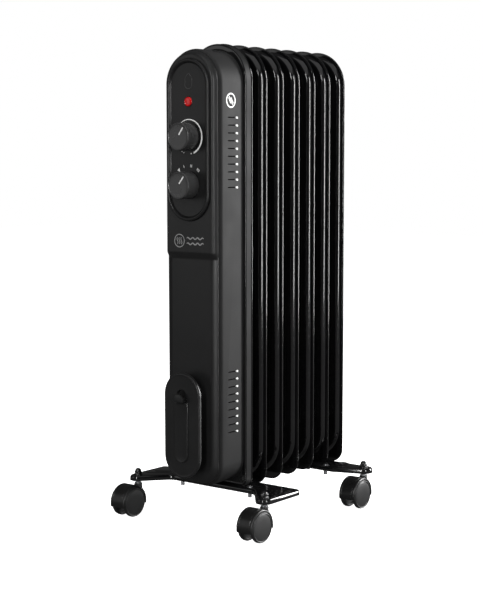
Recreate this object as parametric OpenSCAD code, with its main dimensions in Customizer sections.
// Oil filled radiator heater on four twin-wheel casters, millimetres.
// +Z up, the floor is z = 0, the control panel faces -Y, the origin is under the middle of the heater.

/* [Fins] */
// Number of oil filled fins
fin_count = 7; // [6:1:8]
// Width of a fin over its welded rim
fin_w = 98.6; // [88:0.2:120]
// Height of the top of the fins above the floor
top_z = 620; // [510:1:750]
// Distance from one fin to the next
fin_pitch = 35.3; // [32:0.1:43]
// Greatest thickness of a fin
fin_t = 11; // [9:0.1:13.4]

/* [Housing] */
// Width of the end plate's flange that shows around the housing
flange_w = 5.1; // [4:0.1:7]
// Depth of the control housing from the end plate to the front lip
housing_d = 46; // [42:0.5:60]
// Diameter of both control knobs
knob_d = 35; // [29:0.2:42]
// Height of a knob above the panel
knob_h = 20.5; // [16:0.1:25]

/* [Feet and casters] */
// Distance between the left and the right caster stems
stem_track = 213.2; // [195:0.2:260]
// Diameter of a caster wheel
wheel_d = 39; // [32:0.1:48]
// Distance from a caster stem to the wheel axle
caster_trail = 19.3; // [16:0.1:24]
// Diameter of a caster stem where it turns in the hood
stem_pin_d = 6; // [5:0.1:7.4]
// Diameter of a wheel axle
axle_d = 4; // [3:0.1:5]

/* [Fits] */
// Radial clearance of everything that turns
running_gap = 0.06; // [0.03:0.01:0.1]

/* [Hidden] */
FIN_NODES = [for (i = [1 : fin_count]) str("fin_", i)];
CORNERS = ["front_left", "front_right", "rear_left", "rear_right"];
$fn = 64;

// Casters
wheel_r = wheel_d / 2;
pin_r = stem_pin_d / 2;
boss_wall = 2.6;
boss_r = pin_r + boss_wall;
wheel_in_x = boss_r + 1.6;
wheel_w = 5.8;
wheel_out_x = wheel_in_x + wheel_w;
hood_gap = 0.9;
hood_t = 2.2;
hood_r = wheel_r + hood_gap + hood_t;
hood_half_w = wheel_out_x - 0.6;
hood_web_t = 5.2;
lip_angle = 12;
axle_r = axle_d / 2;
axle_boss_r = axle_r + 3.6;
axle_boss_x = wheel_in_x - 0.8;
axle_end_x = wheel_out_x - 1;
hood_top_z = wheel_r + hood_r;
boss_top_z = hood_top_z - 1.6;
boss_bore_z = wheel_r + 7.5;
boss_floor_t = 3;

// Feet: pressed plates with a turned-down edge, above the casters
edge_z = hood_top_z + 2.9;
edge_h = 7;
plate_top_z = edge_z + edge_h;
plate_t = 1.6;
front_stem_y0 = -44.1;
rear_stem_y0 = fin_pitch * (fin_count - 2) + 3;
stem_x = stem_track / 2;
tab_r = 11;
end_r = 12.4;
tab_reach = 36;
tab_front = 4;
foot_chamfer = 5;
slot_margin = 3;
foot_end_x = stem_x + tab_r - 0.6;
stem_collar_r = pin_r + 1.8;
stem_thread_r = 3;

// Fins: a flat welded rim around a hollow oil channel
rim_t = 1.6;
rim_band = 5;
fin_r = fin_w / 2;
fin_bottom_z = edge_z + 0.2;
fin_corner_r = 20;
fin_top_c = top_z - fin_r;
channel_r = fin_r - rim_band;
channel_bottom_c = fin_bottom_z + rim_band + channel_r;
sheet_t = 1;
hub_r = 15;
hub_bore_r = 12;
pocket_w = 15;
pocket_x = hub_r + 1.5 + pocket_w / 2;
pocket_top_z = fin_top_c - 6;
pocket_bottom_z = channel_bottom_c + 27.5;
pocket_ramp = 22;
pocket_floor_t = 2.4;
end_rim_trim = 1.4;

// Lengthwise places, worked out so that the middle of the whole heater is y = 0
front_end = front_stem_y0 - caster_trail - hood_r;
rear_cap_t = 3;
rear_end = fin_pitch * (fin_count - 1) + fin_t / 2 + rear_cap_t;
fin_1_y = -(front_end + rear_end) / 2;
front_stem_y = fin_1_y + front_stem_y0;
rear_stem_y = fin_1_y + rear_stem_y0;
hub_face_y = fin_1_y - fin_t / 2;

// U-bolts, wing nuts and studs of the feet
bolt_r = 2.4;
bolt_x = hub_r + bolt_r + 1.6;
front_bolt_y = fin_1_y + fin_t / 2 + 8.5;
rear_bolt_y = rear_stem_y - 19.5;
bolt_end_z = edge_z - 3.4;
front_foot_rear_y = front_bolt_y + 7;
nut_body_r = 4.6;
nut_body_h = 5;
nut_wing_x = 7;
nut_wing_w = 7.2;
nut_wing_t = 2;
nut_wing_h = 7;
nut_wing_drop = 8.4;
stud_r = 2.5;
stud_x = fin_r + 7.7;
stud_drop = 6;
front_stud_y = fin_1_y - 10;
rear_stud_y = rear_stem_y - 20;
rear_slot_y = fin_1_y + (fin_count - 2) * fin_pitch;

// End plate behind the housing, and the housing itself
skirt_t = 0.8;
skirt_r = fin_r - 0.1;
skirt_rear_y = fin_1_y + fin_t / 2;
end_plate_y = hub_face_y - 1.5;
end_plate_t = 1.2;
skirt_bottom_z = fin_bottom_z + 2.8;
skirt_top_c = top_z - skirt_r;
skirt_corner_r = 13;
skirt_notch_h = 8;
plate_bevel = 1.2;
screw_clearance = 0.2;
screw_head_r = 3.6;
screw_head_h = 1.8;
hub_hole_r = hub_r + 1.2;
screw_x = skirt_r - 7.6;
screw_z = skirt_bottom_z + 11.4;
screw_r = 1.7;
shell_r = fin_r - flange_w;
shell_c = fin_top_c - 4.2;
shell_t = 1.6;
shell_bottom_z = skirt_bottom_z + 8;
shell_flat = 14.2;
shell_corner_r = shell_r - shell_flat;
shell_back_y = end_plate_y;
shell_front_y = shell_back_y - housing_d;
lip_r = 2.4;

// Front fascia: a proud upper part and a lower part that is set back
fascia_front_y = shell_front_y - 8.2;
fascia_low_y = fascia_front_y + 3.2;
fascia_slope = 7.2;
fascia_t = 2.4;
seam = 0.3;

// Control bezel: an oval tray with a raised bead
bead_w = 6;
bezel_border = 9.8;
bezel_r = shell_r - bezel_border - bead_w;
bead_front_y = fascia_front_y - 4;
bead_round = 1.6;
panel_y = fascia_front_y - 0.5;
panel_t = 2.5;
bezel_top_c = shell_c - 2.4;
bezel_bottom_c = bezel_top_c - 134.7;
bezel_back_y = fascia_front_y + 6;
bezel_gap = 0.35;
step_z = bezel_bottom_c - 73.4;
step_h = 9;

// Controls
lens_z = bezel_top_c - 19.5;
thermostat_z = bezel_top_c - 63.3;
selector_z = thermostat_z - 60.4;
lens_r = 5.8;
lamp_r = 2.6;
knob_r = knob_d / 2;
knob_back_y = panel_y - 0.7;
knob_front_y = knob_back_y - knob_h;
knob_wall = 1.8;
spindle_r = 3;
spindle_flat = 1;
spindle_hole_r = 4.4;
knob_grip = 11;
bracket_t = 1.5;
control_front_y = bezel_back_y + bracket_t;
bush_r = 5.5;
bush_front_y = panel_y + panel_t + 0.5;
spindle_end_y = control_front_y + 12;
pointer_angle_thermostat = 54;
pointer_angle_selector = 51;

// Cord tidy
tidy_r = shell_r - 15.1;
tidy_bottom_z = shell_bottom_z + 11.6;
tidy_h = 135.8;
tidy_low_c = tidy_bottom_z + tidy_r;
tidy_top_c = tidy_bottom_z + tidy_h - tidy_r;
tidy_front_y = fascia_low_y - 20.3;
tidy_t = 5.5;
tidy_post_r = 13;
tidy_post_wall = 2.4;
tidy_hole_w = 17;
tidy_hole_top_z = tidy_bottom_z + 114.4;
tidy_hole_bottom_z = tidy_bottom_z + 91.4;
tidy_post_low_c = tidy_low_c + 8;
tidy_post_top_c = tidy_top_c - 34;
tongue_w = 14;
tongue_t = 2.4;
tongue_root = 2;
tongue_top_z = tidy_hole_bottom_z + 12;
tongue_reach = 7.4;
tongue_flange_r = 8;

// Side vents
vent_h = 1.7;
vent_pitch = 9.7;
vent_len = 23;
vent_y = shell_back_y - 11 - vent_len;
upper_vents = 10;
upper_vent_z = shell_c - 41.5;
lower_vents = 9;
lower_vent_z = shell_bottom_z + 147.5;
top_vents = 3;
top_vent_w = 40;
top_vent_h = 1.8;
top_vent_y = shell_back_y - 14;
top_vent_pitch = 4.6;

// Heating elements, cut-out, terminals and wires inside
gasket_t = 1;
element_r = 3.2;
element_gap = 5.6;
element_front_y = fin_1_y - 22;
element_rear_y = fin_1_y + (fin_count - 1.6) * fin_pitch;
cutout_z = channel_bottom_c + 50;
block_w = 18;
block_t = 14;
block_h = 34;
block_x = -(shell_r - 18.2);
block_z = shell_bottom_z + 72;
ways = 3;
way_pitch = 11;
way_r = 2;
way_wire_r = 1.6;
wire_r = 1.2;
wire_lane_y = end_plate_y - 24;

// Bush of the supply cord, in the flat floor of the housing
gland_y = shell_back_y - 24;
gland_r = 6.5;
gland_bore_r = 3.6;
gland_flange_w = 2;
gland_flange_t = 2.4;
gland_h = 12;
gland_x = -(shell_flat - gland_r - gland_flange_w - 0.7);

// Finish colours
enamel = [0.03, 0.03, 0.035];
charcoal = [0.2, 0.2, 0.21];
black_plastic = [0.08, 0.08, 0.085];
steel = [0.75, 0.76, 0.78];
brass = [0.78, 0.62, 0.3];

// Solid whose outline is a half circle on top, straight sides and rounded lower corners.
// prof lists [inset from the outline, y] from the back to the front.
module arch(prof, r, top_c, corner, bottom) {
    n = len(prof);
    inset_ring = [for (p = prof) [r - p[0], -p[1]]];
    top_ring = concat([[0, -prof[0][1]]], inset_ring, [[0, -prof[n - 1][1]]]);
    low_ring = concat([[0, -prof[0][1]]], [for (p = prof) [corner - p[0], -p[1]]], [[0, -prof[n - 1][1]]]);
    half = [for (p = prof) [r - p[0], p[1]]];
    other = [for (i = [n - 1 : -1 : 0]) [-(r - prof[i][0]), prof[i][1]]];
    low_z = bottom + corner;
    translate([0, 0, top_c])
        rotate([90, 0, 0])
            rotate_extrude(angle = 180)
                polygon(top_ring);
    translate([0, 0, low_z])
        linear_extrude(top_c - low_z)
            polygon(concat(half, other));
    for (side = [0, 1])
        mirror([side, 0, 0])
            translate([r - corner, 0, low_z])
                rotate([90, 0, 0])
                    rotate([0, 0, -90])
                        rotate_extrude(angle = 90)
                            polygon(low_ring);
    if (r > corner)
        translate([-(r - corner), 0, 0])
            rotate([90, 0, 90])
                linear_extrude(2 * (r - corner))
                    polygon(concat(
                        [[prof[0][1], low_z]],
                        [for (p = prof) [p[1], bottom + p[0]]],
                        [[prof[n - 1][1], low_z]]));
}

// Stadium standing on end: radius r, centres of the ends at low_c and top_c
module stadium(prof, r, low_c, top_c) {
    n = len(prof);
    ring = concat([[0, -prof[0][1]]], [for (p = prof) [r - p[0], -p[1]]], [[0, -prof[n - 1][1]]]);
    half = [for (p = prof) [r - p[0], p[1]]];
    other = [for (i = [n - 1 : -1 : 0]) [-(r - prof[i][0]), prof[i][1]]];
    for (up = [0, 1])
        translate([0, 0, up == 1 ? top_c : low_c])
            rotate([90, 0, 0])
                rotate([0, 0, up == 1 ? 0 : 180])
                    rotate_extrude(angle = 180)
                        polygon(ring);
    translate([0, 0, low_c])
        linear_extrude(top_c - low_c)
            polygon(concat(half, other));
}

// Round bar or hole along Y from y0 to y1
module y_cylinder(r, y0, y1, x = 0, z = 0) {
    translate([x, y1, z])
        rotate([90, 0, 0])
            cylinder(r = r, h = y1 - y0);
}

// Round bar or hole along X from x0 to x1
module x_cylinder(r, x0, x1, y = 0, z = 0) {
    translate([x0, y, z])
        rotate([0, 90, 0])
            cylinder(r = r, h = x1 - x0);
}

// One fin, drawn around y = 0. The hubs reach halfway to the neighbouring fins.
module fin(number) {
    first = number == 1;
    last = number == fin_count;
    trim = first ? end_rim_trim : 0;
    reach = fin_pitch / 2;
    half_t = fin_t / 2;
    difference() {
        union() {
            arch([[trim, rim_t / 2], [trim, -rim_t / 2]], fin_r, fin_top_c, fin_corner_r, fin_bottom_z);
            stadium(
                [[6, half_t], [3.4, half_t - 0.7], [1.2, 2.8], [0, 0.5],
                 [0, -0.5], [1.2, -2.8], [3.4, -half_t + 0.7], [6, -half_t]],
                channel_r, channel_bottom_c, fin_top_c);
            for (z = [channel_bottom_c, fin_top_c])
                y_cylinder(hub_r, first ? -half_t : -reach, last ? half_t + rear_cap_t : reach, 0, z);
        }
        stadium(
            [[sheet_t + 6, half_t - sheet_t], [sheet_t + 2.4, 1.2],
             [sheet_t + 2.4, -1.2], [sheet_t + 6, -half_t + sheet_t]],
            channel_r, channel_bottom_c, fin_top_c);
        for (z = [channel_bottom_c, fin_top_c])
            y_cylinder(hub_bore_r, first ? -half_t - 1 : -reach - 1, last ? half_t : reach + 1, 0, z);
        for (side = [-1, 1], face = [-1, 1])
            pocket(side, face, 0);
    }
    difference() {
        for (side = [-1, 1], face = [-1, 1])
            pocket(side, face, sheet_t);
        for (side = [-1, 1], face = [-1, 1])
            pocket(side, face, 0);
    }
}

// Pressed-in pocket beside the middle channel, with a long ramp at each end.
// A grow above 0 gives its sheet metal lining.
module pocket(side, face, grow) {
    low_y = grow > 0 ? 0 : pocket_floor_t / 2;
    high_y = fin_t / 2 + (grow > 0 ? -0.6 : 1);
    slope = pocket_ramp / (fin_t / 2 - pocket_floor_t / 2);
    low_run = (low_y - pocket_floor_t / 2 + grow) * slope;
    high_run = (high_y - pocket_floor_t / 2 + grow) * slope;
    translate([side * pocket_x - pocket_w / 2 - grow, 0, 0])
        mirror([0, face < 0 ? 1 : 0, 0])
            rotate([90, 0, 90])
                linear_extrude(pocket_w + 2 * grow)
                    polygon([
                        [low_y, pocket_bottom_z - low_run], [low_y, pocket_top_z + low_run],
                        [high_y, pocket_top_z + high_run], [high_y, pocket_bottom_z - high_run]]);
}

module fin_node(number) {
    color(enamel)
        translate([0, fin_1_y + (number - 1) * fin_pitch, 0])
            fin(number);
}

// Threaded plug in the upper hub, where the oil is filled in
module filler_plug() {
    color(steel) {
        y_cylinder(hub_bore_r, hub_face_y, hub_face_y + 7, 0, fin_top_c);
        translate([0, hub_face_y, fin_top_c])
            rotate([90, 0, 0])
                cylinder(r = 9, h = 5, $fn = 6);
    }
}

// Fibre washer between the lower hub and the element flange
module element_gasket() {
    color([0.5, 0.3, 0.2])
        difference() {
            y_cylinder(hub_r, hub_face_y - gasket_t, hub_face_y, 0, channel_bottom_c);
            y_cylinder(hub_bore_r, hub_face_y - gasket_t - 1, hub_face_y + 1, 0, channel_bottom_c);
        }
}

// Flange that carries the heating elements and closes the lower hub
module element_flange() {
    face_y = hub_face_y - gasket_t;
    color(brass)
        difference() {
            union() {
                y_cylinder(hub_r, face_y - 4, face_y, 0, channel_bottom_c);
                y_cylinder(hub_bore_r - 0.3, face_y, face_y + 9, 0, channel_bottom_c);
            }
            element_tubes(element_r);
        }
}

// Two hairpin tubes, one per heat stage
module element_tubes(r) {
    for (x = [-1, 1]) {
        for (z = [-1, 1])
            y_cylinder(r, element_front_y, element_rear_y, x * element_gap, channel_bottom_c + z * element_gap);
        translate([x * element_gap, element_rear_y, channel_bottom_c])
            rotate([90, 0, 90])
                rotate([0, 0, -90])
                    rotate_extrude(angle = 180)
                        translate([element_gap, 0])
                            circle(r = r, $fn = 32);
    }
}

module heating_elements() {
    color(steel)
        element_tubes(element_r);
}

// End plate with a skirt that closes over the rim of the first fin
module end_plate() {
    color(charcoal)
        difference() {
            arch(
                [[0, skirt_rear_y], [0, end_plate_y + plate_bevel], [plate_bevel, end_plate_y]],
                skirt_r, skirt_top_c, skirt_corner_r, skirt_bottom_z);
            arch(
                [[0, skirt_rear_y + 1], [0, end_plate_y + end_plate_t]],
                skirt_r - skirt_t, skirt_top_c, skirt_corner_r - skirt_t, skirt_bottom_z + skirt_t);
            for (z = [channel_bottom_c, fin_top_c])
                y_cylinder(hub_hole_r, end_plate_y - 1, skirt_rear_y, 0, z);
            translate([-4 - fin_r, skirt_rear_y - 9, skirt_bottom_z - 1])
                cube([2 * fin_r + 8, 10, skirt_notch_h]);
            for (x = [-1, 1])
                y_cylinder(screw_r + screw_clearance, end_plate_y - 1, end_plate_y + 3, x * screw_x, screw_z);
        }
}

// Pan head screws in the lower corners of the end plate
module housing_screws() {
    color(steel)
        for (x = [-1, 1])
            translate([x * screw_x, end_plate_y, screw_z])
                difference() {
                    union() {
                        y_cylinder(screw_r, 0, 5);
                        rotate([90, 0, 0])
                            cylinder(r1 = screw_head_r, r2 = screw_head_r - 1, h = screw_head_h);
                    }
                    for (turn = [0, 90])
                        translate([0, -2, 0])
                            rotate([0, turn, 0])
                                cube([screw_head_r, 2.4, 0.8], center = true);
                }
}

// Open-ended casing of the controls, with vents on both sides and on top
module housing_shell() {
    color(charcoal)
        difference() {
            arch(
                [[0, shell_back_y], [0, shell_front_y + lip_r], [0.7, shell_front_y + 0.7], [lip_r, shell_front_y]],
                shell_r, shell_c, shell_corner_r, shell_bottom_z);
            arch(
                [[0, shell_back_y + 1], [0, shell_front_y - 1]],
                shell_r - shell_t, shell_c, shell_corner_r - shell_t, shell_bottom_z + shell_t);
            for (i = [0 : upper_vents - 1])
                side_vent(upper_vent_z - i * vent_pitch);
            for (i = [0 : lower_vents - 1])
                side_vent(lower_vent_z - i * vent_pitch);
            for (i = [0 : top_vents - 1])
                translate([-top_vent_w / 2, top_vent_y - top_vent_pitch * i, shell_c + shell_r / 2])
                    cube([top_vent_w, top_vent_h, shell_r]);
            translate([gland_x, gland_y, shell_bottom_z - 1])
                cylinder(r = gland_r + 0.1, h = shell_t + 2);
        }
}

module side_vent(z) {
    translate([-shell_r - 1, vent_y, z - vent_h / 2])
        cube([2 * shell_r + 2, vent_len, vent_h]);
}

// Bush that the supply cord enters through, in the floor of the housing
module cord_gland() {
    color(black_plastic)
        translate([gland_x, gland_y, shell_bottom_z - gland_flange_t])
            difference() {
                union() {
                    cylinder(r = gland_r + gland_flange_w, h = gland_flange_t);
                    cylinder(r = gland_r, h = gland_h);
                }
                translate([0, 0, -1])
                    cylinder(r = gland_bore_r, h = gland_h + 2);
            }
}

// Front cover. It laps onto the lip of the shell and holds the oval bezel.
module front_fascia() {
    edge_y = shell_front_y - seam;
    rim = 0.8;
    color(black_plastic)
        difference() {
            union() {
                arch(
                    [[rim, edge_y], [rim, edge_y - 0.8], [3.4, fascia_front_y + 2.6],
                     [fascia_slope - 1.4, fascia_front_y + 0.5], [fascia_slope + 1, fascia_front_y]],
                    shell_r, shell_c, shell_corner_r, shell_bottom_z);
                arch(
                    [[0, shell_front_y + 8], [0, edge_y]],
                    shell_r - shell_t - 0.3, shell_c, shell_corner_r - shell_t - 0.3,
                    shell_bottom_z + shell_t + 0.3);
            }
            arch(
                [[0, shell_front_y + 9], [0, fascia_low_y + fascia_t]],
                shell_r - shell_t - fascia_t, shell_c, shell_corner_r - shell_t - fascia_t,
                shell_bottom_z + shell_t + fascia_t);
            translate([-shell_r - 1, 0, 0])
                rotate([90, 0, 90])
                    linear_extrude(2 * shell_r + 2)
                        polygon([
                            [fascia_low_y, 0], [fascia_low_y, step_z - step_h],
                            [fascia_front_y - 0.01, step_z], [fascia_front_y - 30, step_z],
                            [fascia_front_y - 30, 0]]);
            stadium(
                [[0, bezel_back_y + 20], [0, fascia_front_y - 5]],
                bezel_r + bead_w + bezel_gap, bezel_bottom_c, bezel_top_c);
        }
}

// Oval tray with a raised bead, behind the two knobs and the lamp
module control_bezel() {
    outer_r = bezel_r + bead_w;
    color(black_plastic)
        difference() {
            stadium(
                [[0, bezel_back_y], [0, bead_front_y + bead_round], [0.5, bead_front_y + 0.5],
                 [bead_round, bead_front_y]],
                outer_r, bezel_bottom_c, bezel_top_c);
            stadium(
                [[0, panel_y], [0, bead_front_y + 1.4], [-1.2, bead_front_y - 1]],
                bezel_r, bezel_bottom_c, bezel_top_c);
            stadium(
                [[0, bezel_back_y + 1], [0, panel_y + panel_t]],
                bezel_r, bezel_bottom_c, bezel_top_c);
            for (z = [thermostat_z, selector_z])
                y_cylinder(spindle_hole_r, panel_y - 1, panel_y + panel_t + 1, 0, z);
            y_cylinder(lens_r + 0.1, panel_y - 1, panel_y + panel_t + 1, 0, lens_z);
        }
}

// Red lens with a flange behind the panel
module indicator_lens() {
    back_y = panel_y + panel_t;
    color([0.75, 0.05, 0.06])
        translate([0, back_y + 1.2, lens_z])
            rotate([90, 0, 0])
                rotate_extrude()
                    polygon([
                        [0, 2.2], [lamp_r, 2.2], [lamp_r, -7], [lamp_r + 1.4, -7], [lamp_r + 1.4, 0],
                        [lens_r + 1.4, 0], [lens_r + 1.4, 1.2], [lens_r, 1.2],
                        [lens_r, panel_t + 2], [lens_r - 1.2, panel_t + 2.9], [lens_r - 3.4, panel_t + 3.6],
                        [0, panel_t + 3.8]]);
}

// Neon lamp in the sleeve of the lens
module neon_lamp() {
    back_y = panel_y + panel_t;
    color([1, 0.55, 0.3]) {
        y_cylinder(lamp_r, back_y + 2, back_y + 13, 0, lens_z);
        for (x = [-1.1, 1.1])
            y_cylinder(0.35, back_y + 12.5, back_y + 22, x, lens_z);
    }
}

// Steel strip behind the bezel that the thermostat and the switch are screwed to
module control_bracket() {
    low_z = selector_z - 18;
    color(steel)
        difference() {
            translate([-bezel_r - 3, bezel_back_y, low_z])
                cube([2 * bezel_r + 6, bracket_t, thermostat_z + 22 - low_z]);
            for (z = [thermostat_z, selector_z])
                y_cylinder(bush_r + 0.1, bezel_back_y - 1, bezel_back_y + bracket_t + 1, 0, z);
        }
}

// Capillary thermostat with its bush, terminals and bimetal arm
module thermostat() {
    color([0.86, 0.84, 0.78])
        difference() {
            union() {
                translate([-14, control_front_y, thermostat_z - 17])
                    cube([28, 17, 34]);
                y_cylinder(bush_r, bush_front_y, control_front_y + 1, 0, thermostat_z);
                for (x = [-8, 8])
                    translate([x - 3, control_front_y + 16.5, thermostat_z - 12])
                        cube([6, 8, 0.9]);
            }
            y_cylinder(spindle_r + running_gap, bush_front_y - 1, spindle_end_y + 0.5, 0, thermostat_z);
        }
}

// Rotary heat stage switch
module selector_switch() {
    color([0.15, 0.15, 0.16])
        difference() {
            union() {
                translate([-15, control_front_y, selector_z - 12])
                    cube([30, 19, 24]);
                y_cylinder(bush_r, bush_front_y, control_front_y + 1, 0, selector_z);
                for (x = [-9, 0, 9])
                    translate([x - 3, control_front_y + 18.5, selector_z - 0.4])
                        cube([6, 8, 0.8]);
            }
            y_cylinder(spindle_r + running_gap, bush_front_y - 1, spindle_end_y + 0.5, 0, selector_z);
        }
}

// Turning spindle with a flat for its knob
module spindle(z, angle) {
    color(steel)
        translate([0, 0, z])
            rotate([0, -angle, 0])
                difference() {
                    y_cylinder(spindle_r, knob_back_y - knob_grip, spindle_end_y);
                    translate([-spindle_r, knob_back_y - knob_grip - 1, spindle_r - spindle_flat])
                        cube([2 * spindle_r, knob_grip - 1, 2]);
                }
}

// Round knob with a hollow back, a hub for the spindle and a raised pointer
module knob(z, angle) {
    color(black_plastic)
        translate([0, 0, z])
            rotate([0, -angle, 0])
                difference() {
                    union() {
                        translate([0, knob_back_y, 0])
                            rotate([90, 0, 0])
                                rotate_extrude()
                                    polygon([
                                        [0, 2], [5.6, 2], [5.6, knob_h - 3.4], [knob_r - knob_wall - 0.6, knob_h - 3.4],
                                        [knob_r - knob_wall, 0], [knob_r, 0], [knob_r - 0.5, knob_h - 1.5],
                                        [knob_r - 1.4, knob_h - 0.4], [knob_r - 2.4, knob_h], [knob_r - 3.2, knob_h],
                                        [knob_r - 4, knob_h - 0.5], [0, knob_h - 0.5]]);
                        translate([3, knob_front_y + 0.2, -0.7])
                            cube([knob_r - 7.6, 0.8, 1.4]);
                    }
                    difference() {
                        y_cylinder(spindle_r + 0.02, knob_back_y - knob_grip - 0.2, knob_back_y);
                        translate([-spindle_r, knob_back_y - knob_grip - 1, spindle_r - spindle_flat + 0.02])
                            cube([2 * spindle_r, knob_grip - 1, 2]);
                    }
                }
}

module thermostat_spindle() {
    spindle(thermostat_z, pointer_angle_thermostat);
}

module thermostat_knob() {
    knob(thermostat_z, pointer_angle_thermostat);
}

module selector_spindle() {
    spindle(selector_z, pointer_angle_selector);
}

module selector_knob() {
    knob(selector_z, pointer_angle_selector);
}

// Over-temperature switch, clipped to the end plate
module thermal_cutout() {
    color([0.9, 0.88, 0.82]) {
        translate([-16, end_plate_y - 2, cutout_z - 8])
            cube([32, 2, 16]);
        y_cylinder(7.5, end_plate_y - 9, end_plate_y - 2, 0, cutout_z);
        for (x = [-4.5, 4.5])
            translate([x - 2.5, end_plate_y - 16, cutout_z - 0.4])
                cube([5, 7.5, 0.8]);
    }
}

// Screw terminals where the supply cord is joined
module terminal_block() {
    color([0.93, 0.92, 0.88])
        translate([block_x - block_w / 2, end_plate_y - block_t, block_z])
            difference() {
                cube([block_w, block_t, block_h]);
                for (i = [0 : ways - 1]) {
                    translate([block_w / 2, -1, 6 + way_pitch * i])
                        rotate([-90, 0, 0])
                            cylinder(r = way_r, h = 8);
                    x_cylinder(way_wire_r, -1, block_w + 1, 9, 6 + way_pitch * i);
                }
            }
}

// One insulated wire through a list of places
module wire(tint, places) {
    color(tint)
        for (i = [0 : len(places) - 2]) {
            span = places[i + 1] - places[i];
            flat = norm([span[0], span[1]]);
            translate(places[i])
                rotate([0, atan2(flat, span[2]), atan2(span[1], span[0])])
                    cylinder(r = wire_r, h = norm(span), $fn = 20);
            if (i > 0)
                translate(places[i])
                    sphere(r = wire_r + 0.1, $fn = 20);
        }
}

// Wires between the terminals, the switch, the thermostat, the cut-out and the elements
module internal_wiring() {
    y0 = wire_lane_y;
    tail_y = control_front_y + 28;
    wire([0.45, 0.25, 0.1], [[-21, y0, block_z + 17], [-21, y0, selector_z - 30], [-9, tail_y, selector_z - 12]]);
    wire([0.1, 0.25, 0.6], [[-30, y0, block_z + 6], [-30, y0, thermostat_z - 40], [-20, y0, thermostat_z - 8]]);
    wire([0.85, 0.8, 0.1], [[14, y0, cutout_z + 12], [24, y0, cutout_z + 60], [24, y0, selector_z - 40]]);
    wire([0.7, 0.1, 0.1], [[18, y0, lens_z - 16], [18, y0, selector_z + 24]]);
}

// Plate on a post that the cord is wound on, with a clip tongue in it
module cord_tidy() {
    back_y = tidy_front_y + tidy_t;
    hole_r = tidy_hole_w / 2;
    color(black_plastic) {
        difference() {
            stadium(
                [[0.8, back_y], [0, back_y - 0.8], [0, tidy_front_y + 1.4], [0.5, tidy_front_y + 0.4],
                 [1.6, tidy_front_y]],
                tidy_r, tidy_low_c, tidy_top_c);
            stadium(
                [[0, back_y + 1], [0, tidy_front_y - 1]],
                hole_r, tidy_hole_bottom_z + hole_r, tidy_hole_top_z - hole_r);
        }
        difference() {
            stadium(
                [[0, fascia_low_y], [0, back_y]],
                tidy_post_r, tidy_post_low_c, tidy_post_top_c);
            stadium(
                [[0, fascia_low_y + 1], [0, back_y + 2]],
                tidy_post_r - tidy_post_wall, tidy_post_low_c, tidy_post_top_c);
        }
        translate([-tongue_w / 2, tidy_front_y, tidy_hole_bottom_z - tongue_root])
            cube([tongue_w, tongue_t, tongue_top_z - tidy_hole_bottom_z + tongue_root]);
        translate([-tongue_w / 2, tidy_front_y - tongue_reach, tongue_top_z - tongue_t])
            cube([tongue_w, tongue_reach + tongue_t, tongue_t]);
        tongue_flange();
    }
}

// Half round flange at the front of the clip tongue
module tongue_flange() {
    y0 = tidy_front_y - tongue_reach;
    low_z = tongue_top_z - tongue_t;
    difference() {
        y_cylinder(tongue_flange_r, y0, y0 + tongue_t, 0, low_z);
        translate([-tongue_flange_r - 1, y0 - 1, low_z - tongue_flange_r - 1])
            cube([2 * tongue_flange_r + 2, tongue_t + 2, tongue_flange_r + 1]);
    }
}

// Outline of the front foot: a wide channel with a caster tab at each front corner
module front_foot_outline(inset) {
    rear = front_foot_rear_y - inset;
    front = fin_1_y - 17 + inset;
    end_x = foot_end_x - inset;
    neck_x = stem_x - tab_r + 3.4 + inset;
    for (side = [-1, 1])
        translate([side * stem_x, front_stem_y])
            circle(r = tab_r - inset);
    polygon([
        [-end_x + foot_chamfer, rear], [-end_x, rear - foot_chamfer], [-end_x, front_stem_y + tab_front],
        [-stem_x, front_stem_y - tab_front], [-neck_x, front_stem_y - 3],
        [-stem_x + tab_reach - inset, front],
        [stem_x - tab_reach + inset, front], [neck_x, front_stem_y - 3],
        [stem_x, front_stem_y - tab_front], [end_x, front_stem_y + tab_front],
        [end_x, rear - foot_chamfer], [end_x - foot_chamfer, rear]]);
}

// Outline of the rear foot: a narrower channel with rounded ends around the stems
module rear_foot_outline(inset) {
    rear = rear_stem_y + end_r - 1 - inset;
    front = rear_stem_y - 26 + inset;
    for (side = [-1, 1])
        translate([side * stem_x, rear_stem_y])
            circle(r = end_r - inset);
    polygon([
        [-stem_x, rear], [-stem_x - tab_front, rear_stem_y - 5], [-stem_x + tab_reach, front],
        [stem_x - tab_reach, front], [stem_x + tab_front, rear_stem_y - 5], [stem_x, rear]]);
}

// Pressed plate made from an outline, open underneath, with a slot for the fin above it
module foot_plate(which, slot_y, bolt_y, stud_y) {
    stem_y = which == 0 ? front_stem_y : rear_stem_y;
    difference() {
        translate([0, 0, edge_z])
            linear_extrude(edge_h)
                foot_outline(which, 0);
        translate([0, 0, edge_z - 1])
            linear_extrude(edge_h - plate_t + 1)
                foot_outline(which, plate_t);
        translate([-fin_r - 1, slot_y - fin_t / 2 - slot_margin, edge_z - 1])
            cube([2 * fin_r + 2, fin_t + 1.5 * slot_margin, edge_h + 3]);
        for (side = [-1, 1]) {
            translate([side * stem_x, stem_y, edge_z - 1])
                cylinder(r = stem_thread_r + 0.1, h = edge_h + 3, $fn = 32);
            translate([side * bolt_x, bolt_y, edge_z - 1])
                cylinder(r = bolt_r + 0.3, h = edge_h + 3, $fn = 32);
            translate([side * stud_x, stud_y, edge_z - 1])
                cylinder(r = stud_r + 0.1, h = edge_h + 3, $fn = 32);
        }
    }
}

module foot_outline(which, inset) {
    if (which == 0)
        front_foot_outline(inset);
    else
        rear_foot_outline(inset);
}

module front_foot() {
    color(enamel)
        foot_plate(0, fin_1_y, front_bolt_y, front_stud_y);
}

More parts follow.
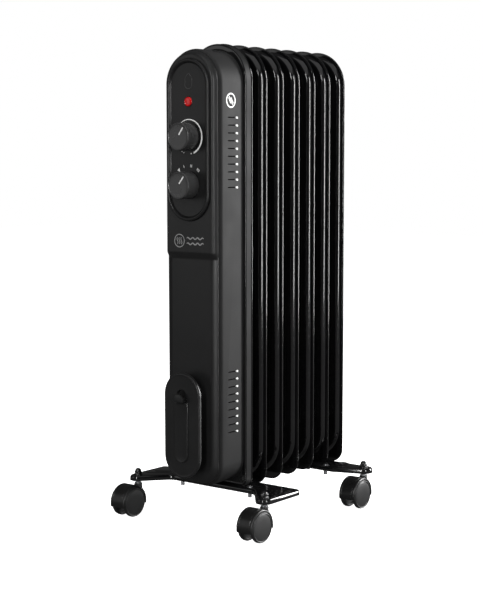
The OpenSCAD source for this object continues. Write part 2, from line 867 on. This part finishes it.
module rear_foot() {
    color(enamel) {
        foot_plate(1, rear_slot_y, rear_bolt_y, rear_stud_y);
        for (side = [-1, 1])
            translate([side * (stem_x - 33), rear_stem_y - 3, plate_top_z])
                cylinder(r1 = 11, r2 = 8, h = 2.4);
    }
}

// Rods that hook over the lower hubs and hold the feet
module u_bolts() {
    color(steel)
        for (y = [front_bolt_y, rear_bolt_y]) {
            for (side = [-1, 1])
                translate([side * bolt_x, y, bolt_end_z])
                    cylinder(r = bolt_r, h = channel_bottom_c - bolt_end_z, $fn = 32);
            translate([0, y, channel_bottom_c])
                rotate([90, 0, 0])
                    rotate_extrude(angle = 180)
                        translate([bolt_x, 0])
                            circle(r = bolt_r, $fn = 32);
        }
}

// Wing nuts under the feet
module wing_nuts() {
    under_z = plate_top_z - plate_t;
    color(steel)
        for (y = [front_bolt_y, rear_bolt_y], side = [-1, 1])
            translate([side * bolt_x, y, under_z])
                difference() {
                    union() {
                        translate([0, 0, -nut_body_h])
                            cylinder(r1 = nut_body_r - 0.6, r2 = nut_body_r, h = nut_body_h);
                        for (wing = [-1, 1])
                            translate([wing * nut_wing_x - nut_wing_w / 2, -nut_wing_t / 2, -nut_wing_drop])
                                cube([nut_wing_w, nut_wing_t, nut_wing_h]);
                    }
                    translate([0, 0, -nut_wing_drop - 1])
                        cylinder(r = bolt_r, h = nut_wing_drop + 2, $fn = 32);
                }
}

// Low headed studs through the feet, beside the fins
module foot_studs() {
    color([0.1, 0.1, 0.1])
        for (y = [front_stud_y, rear_stud_y], side = [-1, 1])
            translate([side * stud_x, y, 0]) {
                translate([0, 0, edge_z - stud_drop])
                    cylinder(r = stud_r, h = edge_h + stud_drop, $fn = 32);
                translate([0, 0, plate_top_z])
                    cylinder(r1 = 4.4, r2 = 3, h = 1.4, $fn = 32);
            }
}

// Domed nuts on top of the caster stems
module dome_nuts() {
    color([0.07, 0.07, 0.07])
        for (side = [-1, 1], y = [front_stem_y, rear_stem_y])
            translate([side * stem_x, y, plate_top_z])
                difference() {
                    union() {
                        cylinder(r = 6, h = 1.2);
                        cylinder(r = 5, h = 5, $fn = 6);
                        translate([0, 0, 4.9])
                            intersection() {
                                sphere(r = 4.1);
                                cylinder(r = 5, h = 5);
                            }
                    }
                    translate([0, 0, -1])
                        cylinder(r = stem_thread_r, h = 7.2, $fn = 32);
                }
}

// Steel stems: a thread through the foot, a plain stem with a washer, and its end in the hood
module caster_stems() {
    under_z = plate_top_z - plate_t;
    pin_bottom_z = boss_bore_z + 0.5;
    color(steel)
        for (side = [-1, 1], y = [front_stem_y, rear_stem_y])
            translate([side * stem_x, y, 0]) {
                translate([0, 0, pin_bottom_z])
                    cylinder(r = pin_r, h = under_z - pin_bottom_z);
                translate([0, 0, boss_top_z + 0.4])
                    cylinder(r = stem_collar_r, h = 0.9);
                translate([0, 0, under_z - 0.2])
                    cylinder(r = stem_thread_r, h = plate_t + 6.2, $fn = 32);
            }
}

function corner_x(c) = (c % 2 == 0 ? -1 : 1) * stem_x;
function corner_y(c) = c < 2 ? front_stem_y : rear_stem_y;

module at_corner(c) {
    translate([corner_x(c), corner_y(c) - caster_trail, wheel_r])
        children();
}

// Hood over both wheels, with the web, the axle boss and the swivel boss
module hood(c) {
    boss_z = boss_top_z - wheel_r;
    color([0.06, 0.06, 0.065])
        at_corner(c)
            difference() {
                union() {
                    hood_ring(hood_r - hood_t, hood_r, hood_half_w);
                    hood_ring(4, hood_r - 0.6, hood_web_t / 2);
                    x_cylinder(axle_boss_r, -axle_boss_x, axle_boss_x);
                    translate([0, caster_trail, boss_bore_z - boss_floor_t - wheel_r])
                        cylinder(r = boss_r, h = boss_top_z - boss_bore_z + boss_floor_t);
                }
                translate([0, caster_trail, boss_bore_z - wheel_r])
                    cylinder(r = pin_r + running_gap, h = boss_z + 10);
                x_cylinder(axle_r, -axle_boss_x - 1, axle_boss_x + 1);
            }
}

// Upper half ring around the axle, a little more than half round
module hood_ring(inner_r, outer_r, half_w) {
    translate([-half_w, 0, 0])
        rotate([90, 0, 90])
            rotate([0, 0, -lip_angle])
                rotate_extrude(angle = 180 + 2 * lip_angle)
                    translate([inner_r, 0])
                        square([outer_r - inner_r, 2 * half_w]);
}

module axle(c) {
    color(steel)
        at_corner(c)
            x_cylinder(axle_r, -axle_end_x, axle_end_x);
}

// Wheel of a twin: a tread ring, a dished outer disc and a hub. side is the way its disc faces.
module wheel(c, side) {
    bore_r = axle_r + running_gap;
    color([0.16, 0.16, 0.165])
        at_corner(c)
            mirror([side < 0 ? 1 : 0, 0, 0])
                translate([wheel_in_x, 0, 0])
                    rotate([90, 0, 90])
                        rotate_extrude()
                            polygon([
                                [bore_r, 0], [bore_r + 3, 0], [bore_r + 3, 2.4], [wheel_r - 3, 2.4],
                                [wheel_r - 3, 0.2], [wheel_r - 0.8, 0.2], [wheel_r, 1], [wheel_r, wheel_w - 1.2],
                                [wheel_r - 1, wheel_w - 0.2], [wheel_r - 2, wheel_w - 0.6], [wheel_r - 6, wheel_w],
                                [bore_r + 2, wheel_w], [bore_r + 2, wheel_w - 0.9], [bore_r, wheel_w - 0.9]]);
}

for (i = [1 : fin_count])
    fin_node(i);
filler_plug();
element_flange();
element_gasket();
heating_elements();
end_plate();
housing_shell();
front_fascia();
control_bezel();
indicator_lens();
neon_lamp();
control_bracket();
thermostat();
thermostat_spindle();
thermostat_knob();
selector_switch();
selector_spindle();
selector_knob();
thermal_cutout();
terminal_block();
internal_wiring();
cord_gland();
cord_tidy();
housing_screws();
front_foot();
rear_foot();
u_bolts();
wing_nuts();
foot_studs();
dome_nuts();
caster_stems();
for (c = [0 : 3]) {
    hood(c);
    axle(c);
    wheel(c, c % 2 == 0 ? -1 : 1);
    wheel(c, c % 2 == 0 ? 1 : -1);
}
